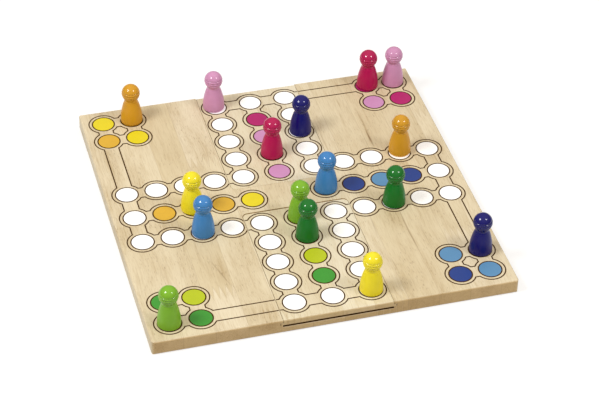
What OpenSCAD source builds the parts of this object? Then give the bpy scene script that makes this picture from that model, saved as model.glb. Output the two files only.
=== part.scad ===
// A square wooden ludo board with two sliding lids let into its top, and
// sixteen turned pawns standing on it. The game's fields are thin layers of
// print. X runs to the right, Y to the rear and Z up, and the origin is the
// middle of the board's underside. All sizes are in millimetres.

/* [Board] */
// Side of the square board
board_side = 291; // [262:1:340]
// Thickness of the board
board_t = 12.5; // [11:0.5:20]
// Radius of the sanded edges, above and below
edge_r = 1.5; // [0.5:0.1:2.5]
// Radius of the four upright corners
corner_r = 3; // [2.6:0.1:10]

/* [Pockets] */
// Width of each pocket that a lid runs in
pocket_w = 88; // [82:0.5:96]
// Width of the solid bridge between the two pockets
bridge_w = 31.6; // [28:0.2:40]
// Radius of the rounded corners at a pocket's inner end
pocket_r = 4.5; // [2:0.5:8]
// Size of the small bevel along the top of each sill
sill_bevel = 0.8; // [0.3:0.1:1.2]
// Depth of the shallow tray sunk below the pocket's floor
tray_depth = 2.6; // [1:0.1:3]
// Width of the rim left between the tray and the pocket's sides
tray_rim = 8; // [4:0.5:15]
// Width of the sill left between the tray and the board's edge
sill_w = 12; // [6:0.5:20]
// Corner radius of the tray
tray_r = 6; // [3:0.5:10]

/* [Lids] */
// Thickness of a lid
lid_t = 4.9; // [4:0.1:6]
// Gap between a lid's underside and the sill
sill_gap = 1.5; // [0.6:0.1:1.8]
// Gap between a lid's side and the pocket's side
side_clear = 0.4; // [0.2:0.05:0.8]
// How much shorter a lid is than its pocket
lid_play = 1.2; // [0.8:0.1:3]
// Gap left at the inner end of the rear lid, which is pushed in
push_gap = 0.15; // [0.1:0.05:0.5]
// How far a tongue stands out from the side of its lid
tongue_out = 2.2; // [1:0.1:3]
// Thickness of a tongue
tongue_t = 2; // [1.2:0.1:2.6]
// Clearance above and below a tongue in its groove
tongue_clear = 0.15; // [0.1:0.05:0.3]

/* [Layout] */
// Width of bare wood between the outermost printed outline and the board's edge
rim_w = 5.8; // [3:0.1:12]
// Distance of an arm's outer rows from the middle of the board
arm_half = 30.4; // [26:0.1:31]
// Diameter of a printed disc
disc_d = 17.3; // [14:0.1:18]
// Gap between a disc and the ring line round it
ring_gap = 0.05; // [0.05:0.05:0.5]
// Diameter of the rounded outline round a field
halo_d = 24.2; // [22:0.1:26]
// Width of the way that joins two fields
way_w = 12.2; // [8:0.1:15]
// Width of the printed lines
line_w = 1; // [0.4:0.05:1.4]
// Thickness of the print
ink_t = 0.1; // [0.05:0.05:0.3]
// How far the print stops short of a lid's edge or a pocket's edge
ink_inset = 0.3; // [0.1:0.05:0.6]

/* [Pawns] */
// Diameter of a pawn's foot
pawn_d = 18.4; // [14:0.1:20]
// Height of a pawn
pawn_h = 36; // [32:0.5:42]
// Diameter of a pawn's head
head_d = 15.4; // [12:0.1:17]
// Diameter of a pawn's neck
neck_d = 10.4; // [8:0.1:11.5]
// Length of the straight neck below the head's lowest visible line
neck_l = 1; // [0.4:0.1:2]
// Bevel round the bottom of a pawn
foot_bevel = 0.5; // [0.2:0.1:1]

/* [Hidden] */
$fn = 96;
over = 2;
board_z = board_t + ink_t;
board_half = board_side / 2;
lid_z = board_t - lid_t;
sill_z = lid_z - sill_gap;
pitch = (board_half - rim_w - halo_d / 2 - arm_half) / 4;
ring_d = disc_d + 2 * ring_gap + line_w;
lid_w = pocket_w - 2 * side_clear;
pocket_l = board_half - bridge_w / 2;
lid_l = pocket_l - lid_play;
groove_w = lid_w + 2 * tongue_out + 2 * side_clear;
groove_h = tongue_t + 2 * tongue_clear;
head_z = pawn_h - head_d / 2;
neck_top = head_z - sqrt(pow(head_d / 2, 2) - pow(neck_d / 2, 2));
neck_z = neck_top - neck_l;
green = "#438a37";
yellow_green = "#a9c83c";
dark_blue = "#2e3570";
light_blue = "#5a96c8";
magenta = "#b3265c";
pink = "#d38fbb";
orange = "#dd9a3c";
yellow = "#ecd335";
wood = "#e3c99d";
lid_wood = "#e9dab2";
white = "#fdfbf8";
line_brown = "#66523a";

// Distance from the middle of the board to the row that is k steps out
function far(k) = arm_half + k * pitch;

// A point turned about the middle of the board by q quarter turns
function turned(p, q) = q == 0 ? p : turned([-p[1], p[0]], q - 1);

// The quarter of the layout round the front arm: its track fields in playing
// order, its home column from the middle outwards, and the base at its left
track = concat(
    [for (k = [0 : 4]) [-arm_half, -far(k)]],
    [[0, -far(4)]],
    [for (k = [4 : -1 : 1]) [arm_half, -far(k)]]);
home = [for (k = [0 : 3]) [0, -far(k)]];
base = [[-far(3), -far(3)], [-far(4), -far(3)], [-far(4), -far(4)], [-far(3), -far(4)]];
fields = concat(track, home, base);
next_corner = [arm_half, -arm_half];
ways = concat(
    [for (i = [0 : 8]) [track[i], track[i + 1]]],
    [[track[9], next_corner]],
    [for (i = [0 : 2]) [home[i], home[i + 1]]],
    [[home[3], track[5]]],
    [for (i = [0 : 3]) [base[i], base[(i + 1) % 4]]],
    [[base[3], track[4]]]);

// Wood

// A rectangle with four round corners, about its own middle
module round_rect(w, h, r) {
    square([w - 2 * r, h], center = true);
    square([w, h - 2 * r], center = true);
    for (x = [-1, 1], y = [-1, 1])
        translate([x * (w / 2 - r), y * (h / 2 - r)]) circle(r);
}

// A slot outline that starts round-cornered at y = 0 and runs open towards +Y
module slot_outline(w, l, r) {
    translate([-w / 2 + r, 0]) square([w - 2 * r, l]);
    translate([-w / 2, r]) square([w, l - r]);
    for (x = [-1, 1])
        translate([x * (w / 2 - r), r]) circle(r);
}

// The board before its pockets are cut, with sanded edges all round
module board_blank() {
    intersection() {
        linear_extrude(board_t) round_rect(board_side, board_side, corner_r);
        translate([0, board_half + over, board_t / 2])
            rotate([90, 0, 0])
            linear_extrude(board_side + 2 * over) round_rect(board_side, board_t, edge_r);
        translate([-board_half - over, 0, board_t / 2])
            rotate([90, 0, 90])
            linear_extrude(board_side + 2 * over) round_rect(board_side, board_t, edge_r);
    }
}

// What is cut away for one lid: the pocket, its side grooves, the tray below
// and the bevel on the sill. The pocket's inner end is at y = 0.
module pocket_cut() {
    translate([0, 0, sill_z])
        linear_extrude(board_t) slot_outline(pocket_w, pocket_l + over, pocket_r);
    translate([-groove_w / 2, pocket_r, lid_z - tongue_clear])
        cube([groove_w, pocket_l, groove_h]);
    translate([0, (tray_rim + pocket_l - sill_w) / 2, sill_z - tray_depth])
        linear_extrude(board_t)
        round_rect(pocket_w - 2 * tray_rim, pocket_l - sill_w - tray_rim, tray_r);
    translate([-pocket_w / 2, pocket_l, sill_z])
        rotate([90, 0, 90])
        linear_extrude(pocket_w)
        polygon([[-sill_bevel, 0], [-sill_bevel, over], [over, over], [over, -sill_bevel - over]]);
}

// Puts a lid's or a pocket's shape at the rear, or turned round to the front
module at_end(q) {
    rotate([0, 0, 180 * q]) translate([0, bridge_w / 2, 0]) children();
}

// One lid, with its inner end at y = 0 and its outer top edge sanded round
module lid() {
    difference() {
        translate([0, 0, lid_z])
            linear_extrude(lid_t) slot_outline(lid_w, lid_l, pocket_r - side_clear);
        translate([-lid_w, lid_l - edge_r, board_t - edge_r])
            rotate([90, 0, 90])
            linear_extrude(2 * lid_w)
            difference() {
                square(edge_r + over);
                circle(edge_r);
            }
    }
    for (x = [-1, 1])
        translate([x * (lid_w / 2 + tongue_out / 2 - side_clear), (pocket_r + lid_l) / 2, lid_z + tongue_t / 2])
        cube([tongue_out + 2 * side_clear, lid_l - pocket_r, tongue_t], center = true);
}

module base_board() {
    color(wood)
    difference() {
        board_blank();
        for (q = [0, 1])
            at_end(q) pocket_cut();
    }
}

// The front lid stands flush with the board's front edge
module front_lid() {
    color(lid_wood) at_end(1) translate([0, lid_play, 0]) lid();
}

// The rear lid is pushed right in
module rear_lid() {
    color(lid_wood) at_end(0) translate([0, push_gap, 0]) lid();
}

// Print

// Where a lid's print may lie, for the lid turned to end q and set out by gap
module lid_area(q, gap) {
    rotate(180 * q)
        translate([0, bridge_w / 2 + gap + ink_inset])
        slot_outline(lid_w - 2 * ink_inset, lid_l - 2 * ink_inset, pocket_r);
}

// The print that lies on the board itself, clear of both pockets
module on_board() {
    translate([0, 0, board_t])
        linear_extrude(ink_t)
        difference() {
            children();
            for (q = [0, 1])
                rotate(180 * q)
                    translate([0, bridge_w / 2 - ink_inset])
                    slot_outline(pocket_w + 2 * ink_inset, pocket_l + over, pocket_r);
        }
}

// The print that lies on the front lid
module on_front_lid() {
    translate([0, 0, board_t])
        linear_extrude(ink_t)
        intersection() {
            children();
            lid_area(1, lid_play);
        }
}

// The print that lies on the rear lid
module on_rear_lid() {
    translate([0, 0, board_t])
        linear_extrude(ink_t)
        intersection() {
            children();
            lid_area(0, push_gap);
        }
}

// All fields and the ways between them as one shape, grown by g all round
module trail(g) {
    for (q = [0 : 3]) {
        for (f = fields)
            translate(turned(f, q)) circle(halo_d / 2 + g);
        for (w = ways)
            way(turned(w[0], q), turned(w[1], q), way_w + 2 * g);
    }
}

// A straight way of width w from one field's middle to another's
module way(a, b, w) {
    along = abs(a[0] - b[0]) + abs(a[1] - b[1]);
    translate((a + b) / 2)
        square(abs(a[0] - b[0]) > abs(a[1] - b[1]) ? [along, w] : [w, along], center = true);
}

// Every printed line: the ring of each field, and the outline of the trail
module lines() {
    difference() {
        trail(line_w / 2);
        trail(-line_w / 2);
    }
    for (q = [0 : 3], f = fields)
        translate(turned(f, q))
        difference() {
            circle(ring_d / 2 + line_w / 2);
            circle(ring_d / 2 - line_w / 2);
        }
}

// One disc in each of the given fields, turned by q quarter turns
module discs(places, q) {
    for (f = places)
        translate(turned(f, q)) circle(disc_d / 2);
}

// The white discs of the whole track
module white_discs() {
    for (q = [0 : 3])
        discs(track, q);
}

// The two shades of a player take turns in the home column and in the base
module first_shade(q) {
    discs([home[1], home[3], base[1], base[3]], q);
}

module second_shade(q) {
    discs([home[0], home[2], base[0], base[2]], q);
}

module board_lines() {
    color(line_brown) on_board() lines();
}

module front_lid_lines() {
    color(line_brown) on_front_lid() lines();
}

module rear_lid_lines() {
    color(line_brown) on_rear_lid() lines();
}

module board_white_discs() {
    color(white) on_board() white_discs();
}

module front_lid_white_discs() {
    color(white) on_front_lid() white_discs();
}

module rear_lid_white_discs() {
    color(white) on_rear_lid() white_discs();
}

module board_green_discs() {
    color(green) on_board() first_shade(0);
}

module board_yellow_green_discs() {
    color(yellow_green) on_board() second_shade(0);
}

module board_dark_blue_discs() {
    color(dark_blue) on_board() first_shade(1);
}

module board_light_blue_discs() {
    color(light_blue) on_board() second_shade(1);
}

module board_magenta_discs() {
    color(magenta) on_board() first_shade(2);
}

module board_pink_discs() {
    color(pink) on_board() second_shade(2);
}

module board_orange_discs() {
    color(orange) on_board() first_shade(3);
}

module board_yellow_discs() {
    color(yellow) on_board() second_shade(3);
}

module front_lid_green_discs() {
    color(green) on_front_lid() first_shade(0);
}

module front_lid_yellow_green_discs() {
    color(yellow_green) on_front_lid() second_shade(0);
}

module rear_lid_magenta_discs() {
    color(magenta) on_rear_lid() first_shade(2);
}

module rear_lid_pink_discs() {
    color(pink) on_rear_lid() second_shade(2);
}

// Pawns

// Half of a pawn's outline: a bevelled foot, a body that bells out on one arc
// from neck to foot, a short neck and a ball for a head
module pawn_outline() {
    foot_r = pawn_d / 2;
    waist = foot_r - neck_d / 2;
    rise = neck_z - foot_bevel;
    bell_r = (rise * rise + waist * waist) / (2 * waist);
    polygon([[0, 0], [foot_r - foot_bevel, 0], [foot_r, foot_bevel], [0, foot_bevel]]);
    intersection() {
        translate([foot_r - bell_r, foot_bevel]) circle(bell_r, $fn = 360);
        translate([0, foot_bevel]) square([pawn_d, head_z - foot_bevel]);
    }
    translate([0, foot_bevel]) square([neck_d / 2, head_z - foot_bevel]);
    intersection() {
        translate([0, head_z]) circle(head_d / 2);
        square([head_d, pawn_h + over]);
    }
}

// A pawn that stands on the field at p. The pawns were set down by hand, so most
// of them stand a little off the middle of their field, which is added to p.
module pawn(p) {
    translate([p[0], p[1], board_z]) rotate_extrude() pawn_outline();
}

module pawn_green_1() {
    color(green) pawn([far(2), -arm_half] + [0.5, -0.1]);
}

module pawn_green_2() {
    color(green) pawn([0, -far(1)]);
}

module pawn_yellow_green_1() {
    color(yellow_green) pawn([0, -arm_half] + [0.3, -0.1]);
}

module pawn_yellow_green_2() {
    color(yellow_green) pawn([-far(4), -far(4)] + [-0.4, -0.1]);
}

module pawn_dark_blue_1() {
    color(dark_blue) pawn([arm_half, far(2)] + [0.9, -0.1]);
}

module pawn_dark_blue_2() {
    color(dark_blue) pawn([far(4), -far(3)] + [0.2, -0.4]);
}

module pawn_light_blue_1() {
    color(light_blue) pawn([arm_half, 0] + [0.7, -0.2]);
}

module pawn_light_blue_2() {
    color(light_blue) pawn([-far(2), -arm_half] + [0.4, 0.1]);
}

module pawn_magenta_1() {
    color(magenta) pawn([far(3), far(4)] + [1.6, 0.6]);
}

module pawn_magenta_2() {
    color(magenta) pawn([0, far(1)]);
}

module pawn_pink_1() {
    color(pink) pawn([-arm_half, far(4)] + [-1.3, 1.7]);
}

module pawn_pink_2() {
    color(pink) pawn([far(4), far(4)]);
}

module pawn_orange_1() {
    color(orange) pawn([-far(3), far(4)] + [0.1, 0.4]);
}

module pawn_orange_2() {
    color(orange) pawn([far(3), arm_half] + [0.8, 2.4]);
}

module pawn_yellow_1() {
    color(yellow) pawn([-far(2), 0] + [-1.3, 0.9]);
}

module pawn_yellow_2() {
    color(yellow) pawn([arm_half, -far(4)] + [0.3, -0.3]);
}

base_board();
front_lid();
rear_lid();
board_lines();
front_lid_lines();
rear_lid_lines();
board_white_discs();
front_lid_white_discs();
rear_lid_white_discs();
board_green_discs();
board_yellow_green_discs();
board_dark_blue_discs();
board_light_blue_discs();
board_magenta_discs();
board_pink_discs();
board_orange_discs();
board_yellow_discs();
front_lid_green_discs();
front_lid_yellow_green_discs();
rear_lid_magenta_discs();
rear_lid_pink_discs();
pawn_green_1();
pawn_green_2();
pawn_yellow_green_1();
pawn_yellow_green_2();
pawn_dark_blue_1();
pawn_dark_blue_2();
pawn_light_blue_1();
pawn_light_blue_2();
pawn_magenta_1();
pawn_magenta_2();
pawn_pink_1();
pawn_pink_2();
pawn_orange_1();
pawn_orange_2();
pawn_yellow_1();
pawn_yellow_2();
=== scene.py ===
"""A wooden ludo board with two sliding lids and sixteen turned pawns, on a white table.

Everything is in metres: X runs to the right, Y to the rear, Z up, and the board's
underside is at Z = 0. The board, its lids and the print come from the frame and get
their finishes here. The pawns are turned here, on their frame solids' own axes.
"""
import math

import bmesh
import bpy
from mathutils import Matrix, Vector


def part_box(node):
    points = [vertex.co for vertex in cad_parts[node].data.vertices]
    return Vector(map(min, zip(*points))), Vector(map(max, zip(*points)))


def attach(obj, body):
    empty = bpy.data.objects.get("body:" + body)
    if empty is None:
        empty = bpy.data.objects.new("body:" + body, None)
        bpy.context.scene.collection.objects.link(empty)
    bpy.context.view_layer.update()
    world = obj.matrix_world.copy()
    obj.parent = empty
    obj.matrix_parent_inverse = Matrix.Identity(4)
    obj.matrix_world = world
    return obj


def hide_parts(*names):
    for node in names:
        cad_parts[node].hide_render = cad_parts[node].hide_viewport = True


MM = 0.001

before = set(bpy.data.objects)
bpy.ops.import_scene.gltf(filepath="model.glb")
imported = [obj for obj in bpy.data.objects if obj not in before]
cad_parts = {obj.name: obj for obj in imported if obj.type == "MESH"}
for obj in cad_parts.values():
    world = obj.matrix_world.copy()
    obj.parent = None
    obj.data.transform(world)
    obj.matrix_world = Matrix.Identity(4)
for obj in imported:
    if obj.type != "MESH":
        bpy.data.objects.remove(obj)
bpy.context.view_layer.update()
_, board_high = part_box("base_board")
BOARD_TOP = board_high.z
BOARD_REAR = board_high.y

# The eight shades, as they are printed on the fields and as the pawns are painted
PRINT_SHADES = {
    "green": "#43A038",
    "yellow_green": "#C0CF21",
    "dark_blue": "#274492",
    "light_blue": "#6197C5",
    "magenta": "#BD1F72",
    "pink": "#D799CA",
    "orange": "#E4B63A",
    "yellow": "#EFDD24",
}
PAINT_SHADES = {
    "green": "#037521",
    "yellow_green": "#82BD2B",
    "dark_blue": "#03036E",
    "light_blue": "#4289CE",
    "magenta": "#BD0356",
    "pink": "#DA9BC7",
    "orange": "#DEA223",
    "yellow": "#FFEE26",
}


# Camera


def look_from(target, distance, bearing, elevation, roll):
    """The matrix of a camera or a lamp that looks at a target, with angles in degrees.

    Bearing is how far it stands to the left of the front, and roll turns it on its axis.
    """
    a, e, r = (math.radians(v) for v in (bearing, elevation, roll))
    back = Vector((-math.sin(a) * math.cos(e), -math.cos(a) * math.cos(e), math.sin(e)))
    level = Vector((math.cos(a), -math.sin(a), 0))
    rise = back.cross(level)
    right = level * math.cos(r) + rise * math.sin(r)
    up = rise * math.cos(r) - level * math.sin(r)
    place = target + back * distance
    rows = [(right[i], up[i], back[i], place[i]) for i in range(3)]
    return Matrix(rows + [(0, 0, 0, 1)])


def make_camera():
    """The photograph's view: a long lens, from the front and a little to the left."""
    lens = bpy.data.cameras.new("camera")
    lens.sensor_width = 36
    lens.lens = 124.7
    camera = bpy.data.objects.new("camera", lens)
    bpy.context.scene.collection.objects.link(camera)
    camera.matrix_world = look_from(
        target=Vector((6.5 * MM, -9.75 * MM, BOARD_TOP)),
        distance=1.679,
        bearing=16.35,
        elevation=39.15,
        roll=1.5,
    )
    bpy.context.scene.camera = camera


# Materials


def linear(code):
    """An sRGB hex colour as linear red, green, blue and alpha."""
    parts = [int(code[i : i + 2], 16) / 255 for i in (1, 3, 5)]
    return [p / 12.92 if p <= 0.04045 else ((p + 0.055) / 1.055) ** 2.4 for p in parts] + [1]


def add(tree, kind, inputs=None, **settings):
    """Adds a node, applies its settings, and sets or links its inputs.

    An input goes by its name or its number. MapRange takes a value, the range it comes
    from as 1 and 2, and the range it goes to as 3 and 4. Mix takes its factor as 0 and
    two colours as 6 and 7, and its colour comes out of outputs[2].
    """
    node = tree.nodes.new("ShaderNode" + kind)
    for name, value in settings.items():
        setattr(node, name, value)
    for name, value in (inputs or {}).items():
        if isinstance(value, bpy.types.Node):
            value = value.outputs[0]
        if isinstance(value, bpy.types.NodeSocket):
            tree.links.new(value, node.inputs[name])
        else:
            node.inputs[name].default_value = value
    return node


def new_material(name):
    """An empty material with its Principled shader: the material, its tree and the shader."""
    material = bpy.data.materials.new(name)
    material.use_nodes = True
    return material, material.node_tree, material.node_tree.nodes["Principled BSDF"]


# Settings of a Mix that tints one colour with another
TINT = {"data_type": "RGBA", "blend_type": "MULTIPLY"}

# Staves, the long blocks in them, and the fingers that join a block to the next
STAVE_W = 25.2 * MM
BLOCK_L = 420 * MM
STAGGER = 0.618  # how much further along its block each stave starts, in blocks
FINGER_W = 2.5 * MM
FINGER_L = 16 * MM
FINGER_SHIFT = 1.2 * MM

# The slots under the lids' outer ends: how wide they are, how far their sills lie below
# the board's top, and how far in from its edge the painted shade on their sills sets in and ends
SLOT_W = 88 * MM
SLOT_DROP = 5.5 * MM
SHADE_SETS_IN = (0.2 * MM, 0.5 * MM)
SHADE_ENDS = (2.2 * MM, 4 * MM)


def stretched_noise(tree, at, across, along, detail):
    """Noise drawn out along the grain, which runs along Y."""
    scale = (1 / across, 1 / along, 1 / across)
    scaled = add(tree, "VectorMath", {0: at, 1: scale}, operation="MULTIPLY")
    return add(tree, "TexNoise", {"Vector": scaled, "Scale": 1, "Detail": detail})


def patches(tree, place, spots):
    """How deep in any of some long patches a point lies, from 0 to 1.

    Each patch is given by its middle, half its width and half its length in millimetres,
    how far it leans to the right for each millimetre to the rear, and how strong it is.
    """
    deepest = None
    for mid_x, mid_y, half_w, half_l, lean, strength in spots:
        middle = (mid_x * MM, mid_y * MM, BOARD_TOP)
        from_mid = add(tree, "VectorMath", {0: place, 1: middle}, operation="SUBTRACT")
        across = (1 / half_w / MM, -lean / half_w / MM, 0)
        along = (0, 1 / half_l / MM, 0)
        aside = add(tree, "VectorMath", {0: from_mid, 1: across}, operation="DOT_PRODUCT")
        ahead = add(tree, "VectorMath", {0: from_mid, 1: along}, operation="DOT_PRODUCT")
        spread = add(tree, "CombineXYZ", {0: aside.outputs["Value"], 1: ahead.outputs["Value"]})
        reach = add(tree, "VectorMath", {0: spread}, operation="LENGTH")
        depth = add(tree, "MapRange", {0: reach.outputs["Value"], 1: 0.2, 2: 1, 3: strength, 4: 0})
        deepest = add(tree, "Math", {0: depth, 1: deepest}, operation="MAXIMUM") if deepest else depth
    return deepest


def glued_blocks(tree, xyz, first_seam, first_joint, seed):
    """Staves that lie side by side along Y, each of long finger-jointed blocks.

    Gives how far across its stave and how far along its block a point is, both from 0 to 1,
    and a node with a chance number and a chance colour for the block.
    """
    x, y = xyz.outputs["X"], xyz.outputs["Y"]
    from_seam = add(tree, "Math", {0: x, 1: first_seam}, operation="SUBTRACT")
    across = add(tree, "Math", {0: from_seam, 1: STAVE_W}, operation="DIVIDE")
    stave = add(tree, "Math", {0: across}, operation="FLOOR")
    part_across = add(tree, "Math", {0: across}, operation="FRACT")

    # The joints between the blocks are zigzags, staggered from stave to stave
    zigzag = add(tree, "Math", {0: from_seam, 1: FINGER_SHIFT}, operation="ADD")
    zigzag = add(tree, "Math", {0: zigzag, 1: FINGER_W}, operation="PINGPONG")
    zigzag = add(tree, "Math", {0: zigzag, 1: 0.5 * FINGER_W}, operation="SUBTRACT")
    fingers = add(tree, "Math", {0: zigzag, 1: FINGER_L / FINGER_W, 2: y}, operation="MULTIPLY_ADD")
    fingers = add(tree, "Math", {0: fingers, 1: first_joint}, operation="SUBTRACT")
    along = add(tree, "Math", {0: fingers, 1: BLOCK_L}, operation="DIVIDE")
    along = add(tree, "Math", {0: stave, 1: STAGGER, 2: along}, operation="MULTIPLY_ADD")
    block = add(tree, "Math", {0: along}, operation="FLOOR")
    part_along = add(tree, "Math", {0: along}, operation="FRACT")
    key = add(tree, "CombineXYZ", {0: stave, 1: block, 2: seed})
    chance = add(tree, "TexWhiteNoise", {"Vector": key}, noise_dimensions="3D")
    return part_across, part_along, chance


def painted_slot_shade(tree, xyz):
    """1 on the sills in the narrow slots under the lids' outer ends, and 0 elsewhere."""
    # Painted shade: this mask says where the sills are darkened to stand in for the shadow in the
    # slots
    size_x = add(tree, "Math", {0: xyz.outputs["X"]}, operation="ABSOLUTE")
    size_y = add(tree, "Math", {0: xyz.outputs["Y"]}, operation="ABSOLUTE")
    near, far = (BOARD_REAR - inset for inset in SHADE_SETS_IN)
    slot_shade = add(tree, "MapRange", {0: size_y, 1: near, 2: far, 3: 0, 4: 1})
    near, far = (BOARD_REAR - inset for inset in SHADE_ENDS)
    inner = add(tree, "MapRange", {0: size_y, 1: far, 2: near, 3: 0, 4: 1})
    within = add(tree, "Math", {0: size_x, 1: SLOT_W / 2}, operation="LESS_THAN")
    below = add(tree, "Math", {0: xyz.outputs["Z"], 1: BOARD_TOP - SLOT_DROP}, operation="LESS_THAN")
    for part in (inner, within, below):
        slot_shade = add(tree, "Math", {0: slot_shade, 1: part}, operation="MULTIPLY")
    return slot_shade


def rubberwood(name, tones, streak, pore_colour, first_seam, first_joint, seed, streaks, veins):
    """Finger-jointed rubberwood, planed and sealed with a thin satin lacquer.

    Each block of its staves has its own tone and figure, its pores are short brown dashes
    along the grain, and end grain is darker because it drinks the lacquer. Streaks are wide
    soft patches of brown heartwood and veins are thin dark lines, both given as for patches.
    """
    material, tree, shader = new_material(name)
    coords = add(tree, "TexCoord")
    place = coords.outputs["Object"]
    xyz = add(tree, "SeparateXYZ", {0: place})
    part_across, part_along, chance = glued_blocks(tree, xyz, first_seam, first_joint, seed)

    # The figure is cut from another spot of the tree in each block, and wanders a little.
    # Real pores are about 0.2 mm wide and fibres far finer: both are drawn coarser to show.
    moved = add(tree, "VectorMath", {0: place, 1: chance.outputs["Color"]}, operation="ADD")
    wander = stretched_noise(tree, moved, 40 * MM, 60 * MM, 1)
    wander = add(tree, "MapRange", {0: wander, 1: 0, 2: 1, 3: -3 * MM, 4: 3 * MM})
    wander = add(tree, "CombineXYZ", {0: wander})
    moved = add(tree, "VectorMath", {0: moved, 1: wander}, operation="ADD")
    cloud = stretched_noise(tree, moved, 18 * MM, 60 * MM, 2)
    figure = stretched_noise(tree, moved, 2.2 * MM, 45 * MM, 3)
    fibre = stretched_noise(tree, moved, 0.7 * MM, 9 * MM, 2)
    pore = stretched_noise(tree, moved, 0.55 * MM, 4.5 * MM, 1)

    # Tone of the block, then its clouds, its streaks and its fibres
    tone = add(tree, "ValToRGB", {0: chance.outputs["Value"]})
    tone.color_ramp.elements[0].color = linear(tones[0])
    tone.color_ramp.elements[1].color = linear(tones[2])
    tone.color_ramp.elements.new(0.5).color = linear(tones[1])
    darker = add(tree, "MapRange", {0: cloud, 1: 0.4, 2: 0.75, 3: 0, 4: 0.45})
    figure_part = add(tree, "MapRange", {0: figure, 1: 0.55, 2: 0.75, 3: 0, 4: 0.3})
    fibre_part = add(tree, "MapRange", {0: fibre, 1: 0.45, 2: 0.75, 3: 0, 4: 0.4})
    for part in (figure_part, fibre_part):
        darker = add(tree, "Math", {0: darker, 1: part}, operation="ADD")
    strayed = add(tree, "VectorMath", {0: place, 1: wander}, operation="ADD")
    heart = patches(tree, strayed, streaks)
    broken = add(tree, "MapRange", {0: figure, 1: 0.4, 2: 0.62, 3: 0.3, 4: 0.95})
    darker = add(tree, "Math", {0: heart, 1: broken, 2: darker}, operation="MULTIPLY_ADD")
    darker = add(tree, "Math", {0: darker, 1: 1.0}, operation="MINIMUM")
    wood = add(tree, "Mix", {0: darker, 6: tone, 7: linear(streak)}, data_type="RGBA")
    vein = add(tree, "Math", {0: patches(tree, strayed, veins), 1: broken}, operation="MULTIPLY")
    wood = add(tree, "Mix", {0: vein, 6: wood.outputs[2], 7: linear(pore_colour)}, data_type="RGBA")

    # The pores crowd together in the heartwood and in patches elsewhere
    crowd = add(tree, "MapRange", {0: cloud, 1: 0.35, 2: 0.65, 3: 0.72, 4: 0.62})
    crowd = add(tree, "Math", {0: heart, 1: -0.09, 2: crowd}, operation="MULTIPLY_ADD")
    pores = add(tree, "Math", {0: pore, 1: crowd}, operation="SUBTRACT")
    pores = add(tree, "MapRange", {0: pores, 1: 0, 2: 0.08, 3: 0, 4: 0.42})
    wood = add(tree, "Mix", {0: pores, 6: wood.outputs[2], 7: linear(pore_colour)}, data_type="RGBA")

    # Hairline glue joints between the staves and between the blocks
    side = add(tree, "Math", {0: part_across, 1: 0.5}, operation="PINGPONG")
    side = add(tree, "MapRange", {0: side, 1: 0.0, 2: 0.014, 3: 0.22, 4: 0})
    end = add(tree, "Math", {0: part_along, 1: 0.5}, operation="PINGPONG")
    end = add(tree, "MapRange", {0: end, 1: 0.0, 2: 0.003, 3: 0.3, 4: 0})
    glue = add(tree, "Math", {0: side, 1: end}, operation="MAXIMUM")
    wood = add(tree, "Mix", {0: glue, 6: wood.outputs[2], 7: linear(pore_colour)}, data_type="RGBA")

    # End grain, on faces that look along Y
    normal = add(tree, "SeparateXYZ", {0: coords.outputs["Normal"]})
    facing = add(tree, "Math", {0: normal.outputs["Y"]}, operation="ABSOLUTE")
    end_grain = add(tree, "MapRange", {0: facing, 1: 0.5, 2: 0.95, 3: 0, 4: 1})
    wood = add(tree, "Mix", {0: end_grain, 6: wood.outputs[2], 7: linear("#F3E0C0")}, **TINT)

    # Painted shade: the sills in the slots get a dull dark brown, standing in for the shadow there
    slot_shade = painted_slot_shade(tree, xyz)
    wood = add(tree, "Mix", {0: slot_shade, 6: wood.outputs[2], 7: linear("#502E08")}, **TINT)
    shade_dull = add(tree, "MapRange", {0: slot_shade, 1: 0, 2: 1, 3: 0.5, 4: 0})

    # Open pores and raised fibres under the lacquer, which is a little uneven
    height = add(tree, "Math", {0: pores, 1: -1.0, 2: fibre_part}, operation="MULTIPLY_ADD")
    bump = add(tree, "Bump", {"Height": height, "Strength": 0.15, "Distance": 0.15 * MM})
    gloss = add(tree, "MapRange", {0: fibre, 1: 0.3, 2: 0.7, 3: 0.42, 4: 0.55})
    tree.links.new(wood.outputs[2], shader.inputs["Base Color"])
    tree.links.new(gloss.outputs[0], shader.inputs["Roughness"])
    tree.links.new(shade_dull.outputs[0], shader.inputs["Specular IOR Level"])
    tree.links.new(bump.outputs[0], shader.inputs["Normal"])
    shader.inputs["IOR"].default_value = 1.48
    return material


def screen_print(name, code, roughness=0.42, sheen=0.5):
    """Screen-printed ink: opaque and even, with a faint grain from the weave of the screen.

    A real screen has about 8 threads to the millimetre, so the grain is drawn coarser to show.
    """
    material, tree, shader = new_material(name)
    place = add(tree, "TexCoord").outputs["Object"]
    grain = add(tree, "TexNoise", {"Vector": place, "Scale": 1 / (0.8 * MM), "Detail": 2})
    cloud = add(tree, "TexNoise", {"Vector": place, "Scale": 1 / (14 * MM), "Detail": 2})
    both = add(tree, "Math", {0: grain, 1: cloud}, operation="ADD")
    shade = add(tree, "MapRange", {0: both, 1: 0.7, 2: 1.3, 3: 0.94, 4: 1.03})
    colour = add(tree, "Mix", {0: 1, 6: linear(code), 7: shade}, **TINT)
    bump = add(tree, "Bump", {"Height": grain, "Strength": 0.08, "Distance": 0.05 * MM})
    tree.links.new(colour.outputs[2], shader.inputs["Base Color"])
    tree.links.new(bump.outputs[0], shader.inputs["Normal"])
    shader.inputs["Roughness"].default_value = roughness
    shader.inputs["IOR"].default_value = 1.48
    shader.inputs["Specular IOR Level"].default_value = sheen
    return material


# How far up a pawn the satin of its body ends, and over what height it turns to polish
SATIN_H = 19 * MM
FADE_H = 5 * MM


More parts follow.
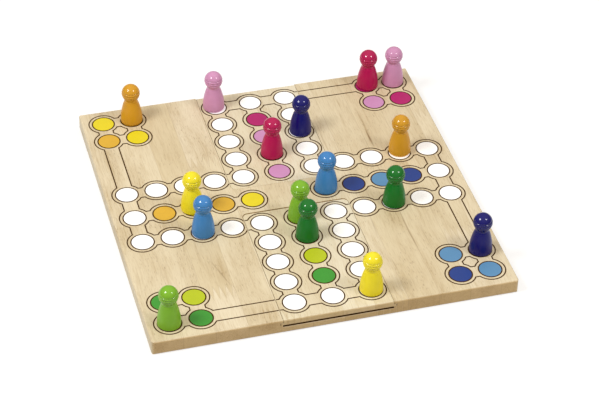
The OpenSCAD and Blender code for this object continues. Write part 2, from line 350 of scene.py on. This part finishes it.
def turned_lacquer(name, code):
    """Lacquer sprayed on turned hardwood.

    It has a deep even colour and a soft orange peel, and the lathe's rings, drawn coarser
    than real ones, just show through. The head is polished bright and the body is satin.
    """
    material, tree, shader = new_material(name)
    place = add(tree, "TexCoord").outputs["Object"]
    z = add(tree, "SeparateXYZ", {0: place}).outputs["Z"]
    rings_at = add(tree, "CombineXYZ", {2: z})
    rings = add(tree, "TexNoise", {"Vector": rings_at, "Scale": 1 / (0.7 * MM), "Detail": 2})
    peel = add(tree, "TexNoise", {"Vector": place, "Scale": 1 / (1.6 * MM), "Detail": 2})
    cloud = add(tree, "TexNoise", {"Vector": place, "Scale": 1 / (9 * MM), "Detail": 2})
    shade = add(tree, "MapRange", {0: cloud, 1: 0.35, 2: 0.65, 3: 0.96, 4: 1.03})
    colour = add(tree, "Mix", {0: 1, 6: linear(code), 7: shade}, **TINT)
    height = add(tree, "Math", {0: rings, 1: 0.5, 2: peel}, operation="MULTIPLY_ADD")
    bump = add(tree, "Bump", {"Height": height, "Strength": 0.03, "Distance": 0.1 * MM})
    low, high = BOARD_TOP + SATIN_H, BOARD_TOP + SATIN_H + FADE_H
    polish = add(tree, "MapRange", {0: z, 1: low, 2: high, 3: 0.32, 4: 0.14})
    sheen = add(tree, "MapRange", {0: z, 1: low, 2: high, 3: 0.3, 4: 0.5})
    tree.links.new(colour.outputs[2], shader.inputs["Base Color"])
    tree.links.new(polish.outputs[0], shader.inputs["Roughness"])
    tree.links.new(sheen.outputs[0], shader.inputs["Specular IOR Level"])
    tree.links.new(bump.outputs[0], shader.inputs["Normal"])
    shader.inputs["IOR"].default_value = 1.55
    return material


def dress(node, material):
    """Gives a frame node its finish."""
    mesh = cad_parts[node].data
    mesh.materials.clear()
    mesh.materials.append(material)


# Pawns

# Angles round the head's ball, in degrees up from its middle: where it leaves the neck,
# and where the beads that are turned round it begin and end
HEAD_FROM = -36
BEADS_FROM = -30
BEADS_TO = 18
BEADS = 3
BEAD_DEPTH = 0.62 * MM


def steps_between(start, end, count):
    """Even steps from start to end, without the end itself."""
    return [start + (end - start) * i / count for i in range(count)]


def on_circle(centre, radius, angle):
    """The point of a circle at an angle in degrees."""
    a = math.radians(angle)
    return centre[0] + radius * math.cos(a), centre[1] + radius * math.sin(a)


def arc(centre, radius, start, end, count):
    """Points along an arc, without its last point."""
    return [on_circle(centre, radius, angle) for angle in steps_between(start, end, count)]


def pawn_profile(foot_r, height):
    """The turned outline, from the foot's middle to the head's top, as (radius, height)."""
    foot_round = 1.1 * MM
    head_r = 7.7 * MM
    neck_r = 5.2 * MM
    hollow = 1.2 * MM
    head_z = height - head_r
    # The neck lies a little below where the ball has narrowed to it
    neck_z = head_z - math.sqrt(head_r**2 - neck_r**2) - 1.0 * MM
    waist = foot_r - neck_r
    rise = neck_z - foot_round
    bell_r = (rise**2 + waist**2) / (2 * waist)
    bell_turn = math.degrees(math.asin((rise - hollow) / bell_r))
    points = [(0, 0), (foot_r * 0.5, 0)]
    points += arc((foot_r - foot_round, foot_round), foot_round, -90, 0, 7)
    points += arc((foot_r - bell_r, foot_round), bell_r, 0, bell_turn, 18)

    # A small hollow between the bell and the head
    low = on_circle((foot_r - bell_r, foot_round), bell_r, bell_turn)
    bend = (neck_r - 0.5 * MM, neck_z + 0.5 * MM)
    high = on_circle((0, head_z), head_r, HEAD_FROM)
    for t in steps_between(0, 1, 9):
        from_low, from_bend, from_high = (1 - t) ** 2, 2 * t * (1 - t), t * t
        r, z = (from_low * low[k] + from_bend * bend[k] + from_high * high[k] for k in (0, 1))
        points.append((r, z))

    # The head, with its round beads: each groove between them is BEAD_DEPTH deep
    bead = (BEADS_TO - BEADS_FROM) / BEADS
    half_bead = head_r * math.radians(bead / 2)
    bead_r = (half_bead**2 + BEAD_DEPTH**2) / (2 * BEAD_DEPTH)
    angles = steps_between(HEAD_FROM, BEADS_FROM, 3)
    angles += steps_between(BEADS_FROM, BEADS_TO, 8 * BEADS)
    angles += steps_between(BEADS_TO, 90, 26)
    for angle in angles:
        r = head_r
        if BEADS_FROM < angle <= BEADS_TO:
            off_middle = 2 * (((angle - BEADS_FROM) / bead) % 1) - 1
            r -= bead_r - math.sqrt(bead_r**2 - (off_middle * half_bead) ** 2)
        points.append(on_circle((0, head_z), r, angle))
    points.append((0, height))
    return points


def turn(name, profile, place, sides=72):
    """A closed solid, turned from a profile round a vertical axis through place."""
    shape = bmesh.new()
    rings = []
    for radius, z in profile:
        if radius == 0:
            rings.append([shape.verts.new(place + Vector((0, 0, z)))])
            continue
        ring = []
        for s in range(sides):
            a = 2 * math.pi * s / sides
            offset = Vector((radius * math.cos(a), radius * math.sin(a), z))
            ring.append(shape.verts.new(place + offset))
        rings.append(ring)
    for lower, upper in zip(rings, rings[1:]):
        for s in range(sides):
            n = (s + 1) % sides
            if len(lower) == 1:
                shape.faces.new((lower[0], upper[n], upper[s]))
            elif len(upper) == 1:
                shape.faces.new((lower[s], lower[n], upper[0]))
            else:
                shape.faces.new((lower[s], lower[n], upper[n], upper[s]))
    mesh = bpy.data.meshes.new(name)
    shape.to_mesh(mesh)
    shape.free()
    mesh.shade_smooth()
    piece = bpy.data.objects.new(name, mesh)
    bpy.context.scene.collection.objects.link(piece)
    return piece


def make_pawns():
    """Each pawn stands where its frame solid does, rides on its own body and replaces it."""
    for shade, code in PAINT_SHADES.items():
        lacquer = turned_lacquer(shade + "_lacquer", code)
        for number in (1, 2):
            node = f"pawn_{shade}_{number}"
            low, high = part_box(node)
            place = Vector(((low.x + high.x) / 2, (low.y + high.y) / 2, low.z))
            profile = pawn_profile((high.x - low.x) / 2, high.z - low.z)
            pawn = turn("turned_" + node, profile, place)
            pawn.data.materials.append(lacquer)
            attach(pawn, node)
            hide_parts(node)


# Board and print


def dress_board():
    """The board has warm wood with brown heart in it, and both lids are cut from paler wood.

    A seed deals the blocks their pale and darker tones. The board's was searched for, so that
    they come out about as on the real board. Streaks and veins are listed one by one: each has
    its middle x and y, half width, half length, lean and strength, as patches takes them.
    """
    board_wood = rubberwood(
        "board_rubberwood",
        tones=("#EFE2C5", "#E9DBBA", "#E0CFA9"),
        streak="#C6B087",
        pore_colour="#876945",
        first_seam=-70.5 * MM,
        first_joint=-103 * MM - STAGGER * BLOCK_L,
        seed=4522.75,
        streaks=(
            (-83, -66, 13, 32, -0.1, 0.45),
            (-57, -134, 12, 16, 0, 0.5),
            (-136, 10, 12, 150, 0, 0.3),
            (72, -52, 8, 16, 0, 0.5),
            (85, 72, 3, 34, 0, 0.6),
        ),
        veins=(
            (-69.2, 88, 1.0, 20, 0, 0.4),
            (-78, -78, 0.9, 24, -0.28, 0.5),
            (-81, -66, 0.8, 14, 0.15, 0.3),
            (47.5, 70, 0.8, 26, 0, 0.3),
            (55.3, -60, 0.8, 16, 0, 0.5),
            (56, -106, 0.8, 16, 0, 0.4),
            (80.3, -70, 0.9, 34, 0, 0.8),
            (85.3, 58, 1.2, 15, 0, 1.0),
            (85.6, 80, 0.9, 24, 0, 0.4),
            (92, -76, 0.8, 20, 0, 0.45),
        ),
    )
    lid_wood = rubberwood(
        "lid_rubberwood",
        tones=("#F0E7CE", "#EBE0C2", "#E5D7B5"),
        streak="#D2BF98",
        pore_colour="#A48456",
        first_seam=-21.6 * MM,
        first_joint=20 * MM,
        seed=8.0,
        streaks=((-30, -80, 8, 40, 0, 0.3), (10, 90, 8, 40, 0, 0.3)),
        veins=((20, -96, 0.7, 16, 0, 0.3), (-10, 118, 0.7, 14, 0, 0.3)),
    )
    dress("base_board", board_wood)
    dress("front_lid", lid_wood)
    dress("rear_lid", lid_wood)


def dress_print():
    """Each layer of print has one colour, and is the same on the board and on the lids."""
    lines = screen_print("brown_line_print", "#4A2F08", roughness=0.7, sheen=0.1)
    white = screen_print("white_print", "#FDFCFA")
    # Painted light: the white print glows a little, which keeps it bright in a pawn's shadow
    painted_glow = white.node_tree.nodes["Principled BSDF"].inputs
    painted_glow["Emission Color"].default_value = (1, 1, 1, 1)
    painted_glow["Emission Strength"].default_value = 0.22
    shades = {shade: screen_print(shade + "_print", code) for shade, code in PRINT_SHADES.items()}
    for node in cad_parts:
        if node.endswith("_lines"):
            dress(node, lines)
        elif node.endswith("_white_discs"):
            dress(node, white)
        elif node.endswith("_discs"):
            shade = node[: -len("_discs")]
            for carrier in ("board_", "front_lid_", "rear_lid_"):
                shade = shade.removeprefix(carrier)
            dress(node, shades[shade])


# Table and light


def make_table():
    """A wide white table that keeps a faint shadow."""
    mesh = bpy.data.meshes.new("table")
    reach = 4  # metres to each side
    tone = 0.5  # how much of the light it gives back
    lift = 0.6  # how much it glows where it is seen
    corners = [(-reach, -reach, 0), (reach, -reach, 0), (reach, reach, 0), (-reach, reach, 0)]
    mesh.from_pydata(corners, [], [(0, 1, 2, 3)])
    table = bpy.data.objects.new("table", mesh)
    bpy.context.scene.collection.objects.link(table)
    material, tree, shader = new_material("white_table")
    shader.inputs["Base Color"].default_value = (tone, tone, tone, 1)
    shader.inputs["Roughness"].default_value = 0.9
    shader.inputs["Specular IOR Level"].default_value = 0
    shader.inputs["Emission Color"].default_value = (1, 1, 1, 1)
    # It glows only where it is seen, directly or in a pawn's lacquer, and lights nothing
    path = add(tree, "LightPath")
    seen = path.outputs["Is Camera Ray"]
    for ray in ("Is Glossy Ray", "Is Transmission Ray"):
        seen = add(tree, "Math", {0: seen, 1: path.outputs[ray]}, operation="MAXIMUM")
    glow = add(tree, "Math", {0: seen, 1: lift}, operation="MULTIPLY")
    tree.links.new(glow.outputs[0], shader.inputs["Emission Strength"])
    mesh.materials.append(material)


# How far both softboxes stand from the middle of the board
LAMP_DISTANCE = 1.5


def make_lamp(name, bearing, elevation, sizes, lean, power):
    """An oval softbox that faces the board, placed as in look_from and turned by lean."""
    lamp = bpy.data.lights.new(name, "AREA")
    lamp.shape = "ELLIPSE"
    lamp.size, lamp.size_y = sizes
    lamp.energy = power
    lamp_object = bpy.data.objects.new(name, lamp)
    bpy.context.scene.collection.objects.link(lamp_object)
    middle = Vector((0, 0, BOARD_TOP))
    lamp_object.matrix_world = look_from(middle, LAMP_DISTANCE, bearing, elevation, lean)


def make_light():
    """A softbox on the left, a longer one on the right, and a pale room, brightest overhead."""
    make_lamp("left_softbox", bearing=80, elevation=54, sizes=(0.46, 0.46), lean=0, power=9.4)
    make_lamp("right_softbox", bearing=-50, elevation=51, sizes=(0.25, 0.5), lean=40, power=4.9)
    at_horizon = 0.21
    overhead = 0.75
    world = bpy.data.worlds.new("pale_room")
    bpy.context.scene.world = world
    world.use_nodes = True
    tree = world.node_tree
    facing = add(tree, "SeparateXYZ", {0: add(tree, "TexCoord").outputs["Generated"]})
    glow = add(tree, "MapRange", {0: facing.outputs["Z"], 1: 0, 2: 1, 3: at_horizon, 4: overhead})
    tree.links.new(glow.outputs[0], tree.nodes["Background"].inputs["Strength"])
    tree.nodes["Background"].inputs["Color"].default_value = linear("#FFF5E8")


make_camera()
dress_board()
dress_print()
make_pawns()
make_table()
make_light()
bpy.context.scene.view_settings.view_transform = "Standard"
